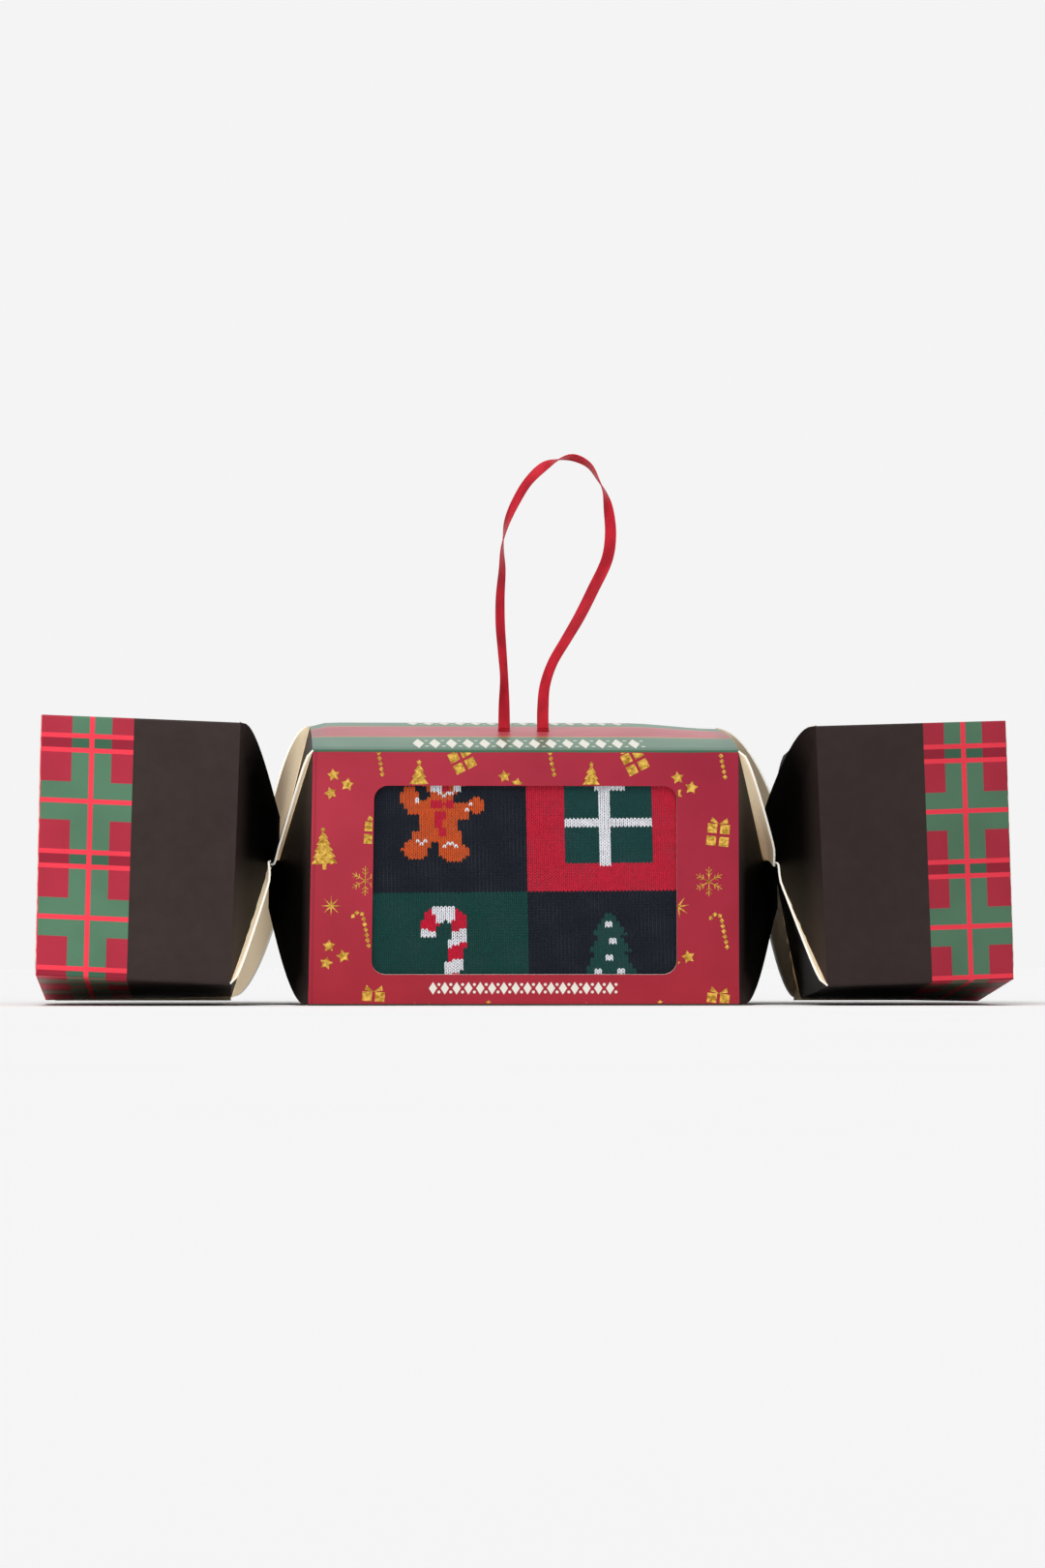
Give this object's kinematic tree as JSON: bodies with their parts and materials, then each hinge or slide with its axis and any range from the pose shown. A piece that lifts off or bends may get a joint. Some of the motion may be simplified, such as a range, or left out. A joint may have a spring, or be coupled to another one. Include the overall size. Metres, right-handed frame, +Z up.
{
  "type": "christmas cracker",
  "caption": "Carton christmas cracker: a windowed square gift box holding folded socks between two pinched necks and lidded end boxes, with a ribbon hanging loop.",
  "frame": {"origin": "on the surface that the cracker stands on, under the middle of the middle box", "axes": "+X along the cracker to its right end, -Y towards the windowed front, +Z up"},
  "size_m": [0.2448, 0.0738, 0.1419],
  "materials": {
    "crimson_print": "crimson print with gold foil ornaments, satin varnish",
    "banded_print": "green and red bands with fine gold lines, satin varnish",
    "green_print": "plain green print, satin varnish",
    "plaid_print": "red and green plaid print with a brown-black band, satin varnish",
    "black_print": "black print outside, bare cream board inside",
    "bare_board": "uncoated board",
    "red_satin": "satin ribbon",
    "knit_blocks": "fine knit in colour blocks",
    "knit_plain": "fine knit",
    "card_stock": "white card"
  },
  "bodies": {
    "middle_box": {"body_front_panel": "crimson_print", "body_top_panel": "banded_print", "body_back_panel": "crimson_print", "body_bottom_panel": "green_print", "body_glue_flap": "bare_board", "left_body_gusset_top": "black_print", "left_body_gusset_front": "black_print", "left_body_gusset_bottom": "black_print", "left_body_gusset_back": "black_print", "right_body_gusset_top": "black_print", "right_body_gusset_front": "black_print", "right_body_gusset_bottom": "black_print", "right_body_gusset_back": "black_print", "ribbon_tails": "red_satin", "ribbon_knot": "red_satin", "sock_front": "knit_blocks", "sock_back": "knit_plain", "sock_card": "card_stock"},
    "hang_loop": {"ribbon_loop": "red_satin"},
    "left_neck": {"left_end_gusset_top": "black_print", "left_end_gusset_front": "black_print", "left_end_gusset_bottom": "black_print", "left_end_gusset_back": "black_print"},
    "left_end_box": {"left_end_panel_top": "plaid_print", "left_end_panel_front": "plaid_print", "left_end_panel_bottom": "plaid_print", "left_end_panel_back": "plaid_print", "left_end_glue_flap": "bare_board"},
    "left_lid": {"left_end_lid": "plaid_print"},
    "left_lip": {"left_end_lid_lip": "bare_board"},
    "left_dust_front": {"left_dust_flap_front": "plaid_print"},
    "left_dust_back": {"left_dust_flap_back": "plaid_print"},
    "right_neck": {"right_end_gusset_top": "black_print", "right_end_gusset_front": "black_print", "right_end_gusset_bottom": "black_print", "right_end_gusset_back": "black_print"},
    "right_end_box": {"right_end_panel_top": "plaid_print", "right_end_panel_front": "plaid_print", "right_end_panel_bottom": "plaid_print", "right_end_panel_back": "plaid_print", "right_end_glue_flap": "bare_board"},
    "right_lid": {"right_end_lid": "plaid_print"},
    "right_lip": {"right_end_lid_lip": "bare_board"},
    "right_dust_front": {"right_dust_flap_front": "plaid_print"},
    "right_dust_back": {"right_dust_flap_back": "plaid_print"}
  },
  "joints": [
    {"name": "left_neck_bend", "type": "hinge", "parent": "middle_box", "child": "left_neck", "pos_m": [-0.06375, 0, 0.03661], "axis": [0, 0, 1], "range_deg": [-6, 6], "stiffness_Nm_per_rad": 0.3, "deforming": ["left_end_gusset_top", "left_end_gusset_front", "left_end_gusset_bottom", "left_end_gusset_back"]},
    {"name": "left_neck_twist", "type": "hinge", "parent": "left_neck", "child": "left_end_box", "pos_m": [-0.07375, 0, 0.03627], "axis": [1, 0, 0], "range_deg": [-6, 6], "stiffness_Nm_per_rad": 1, "deforming": ["left_end_gusset_top", "left_end_gusset_front", "left_end_gusset_bottom", "left_end_gusset_back"]},
    {"name": "left_lid_hinge", "type": "hinge", "parent": "left_end_box", "child": "left_lid", "pos_m": [-0.12225, 0.00345, 0.06909], "axis": [0, 0.9945, -0.1045], "range_deg": [0, 110]},
    {"name": "left_lip_fold", "type": "hinge", "parent": "left_lid", "child": "left_lip", "pos_m": [-0.12225, -0.00338, 0.00415], "axis": [0, 0.9945, -0.1045], "range_deg": [0, 49.5]},
    {"name": "left_dust_front_fold", "type": "hinge", "parent": "left_end_box", "child": "left_dust_front", "pos_m": [-0.12155, -0.03282, 0.03972], "axis": [0, 0.1045, 0.9945], "range_deg": [0, 38.5]},
    {"name": "left_dust_back_fold", "type": "hinge", "parent": "left_end_box", "child": "left_dust_back", "pos_m": [-0.12155, 0.03282, 0.03282], "axis": [0, -0.1045, -0.9945], "range_deg": [0, 38.5]},
    {"name": "right_neck_bend", "type": "hinge", "parent": "middle_box", "child": "right_neck", "pos_m": [0.06375, 0, 0.03661], "axis": [0, 0, 1], "range_deg": [-6, 6], "stiffness_Nm_per_rad": 0.3, "deforming": ["right_end_gusset_top", "right_end_gusset_front", "right_end_gusset_bottom", "right_end_gusset_back"]},
    {"name": "right_neck_twist", "type": "hinge", "parent": "right_neck", "child": "right_end_box", "pos_m": [0.07375, 0, 0.03627], "axis": [1, 0, 0], "range_deg": [-6, 6], "stiffness_Nm_per_rad": 1, "deforming": ["right_end_gusset_top", "right_end_gusset_front", "right_end_gusset_bottom", "right_end_gusset_back"]},
    {"name": "right_lid_hinge", "type": "hinge", "parent": "right_end_box", "child": "right_lid", "pos_m": [0.12225, 0.00345, 0.06909], "axis": [0, -0.9945, 0.1045], "range_deg": [0, 110]},
    {"name": "right_lip_fold", "type": "hinge", "parent": "right_lid", "child": "right_lip", "pos_m": [0.12225, -0.00338, 0.00415], "axis": [0, -0.9945, 0.1045], "range_deg": [0, 49.5]},
    {"name": "right_dust_front_fold", "type": "hinge", "parent": "right_end_box", "child": "right_dust_front", "pos_m": [0.12155, -0.03282, 0.03972], "axis": [0, -0.1045, -0.9945], "range_deg": [0, 38.5]},
    {"name": "right_dust_back_fold", "type": "hinge", "parent": "right_end_box", "child": "right_dust_back", "pos_m": [0.12155, 0.03282, 0.03282], "axis": [0, 0.1045, 0.9945], "range_deg": [0, 38.5]},
    {"name": "hang_loop_swing", "type": "hinge", "parent": "middle_box", "child": "hang_loop", "pos_m": [0, -0.00503, 0.07057], "axis": [1, 0, 0], "range_deg": [-60, 60], "stiffness_Nm_per_rad": 0.002}
  ],
  "couplings": [
    {"joint": "left_dust_front_fold", "follows": "left_lid_hinge", "ratio": 0.35},
    {"joint": "left_dust_back_fold", "follows": "left_lid_hinge", "ratio": 0.35},
    {"joint": "left_lip_fold", "follows": "left_lid_hinge", "ratio": 0.45},
    {"joint": "right_dust_front_fold", "follows": "right_lid_hinge", "ratio": 0.35},
    {"joint": "right_dust_back_fold", "follows": "right_lid_hinge", "ratio": 0.35},
    {"joint": "right_lip_fold", "follows": "right_lid_hinge", "ratio": 0.45}
  ]
}
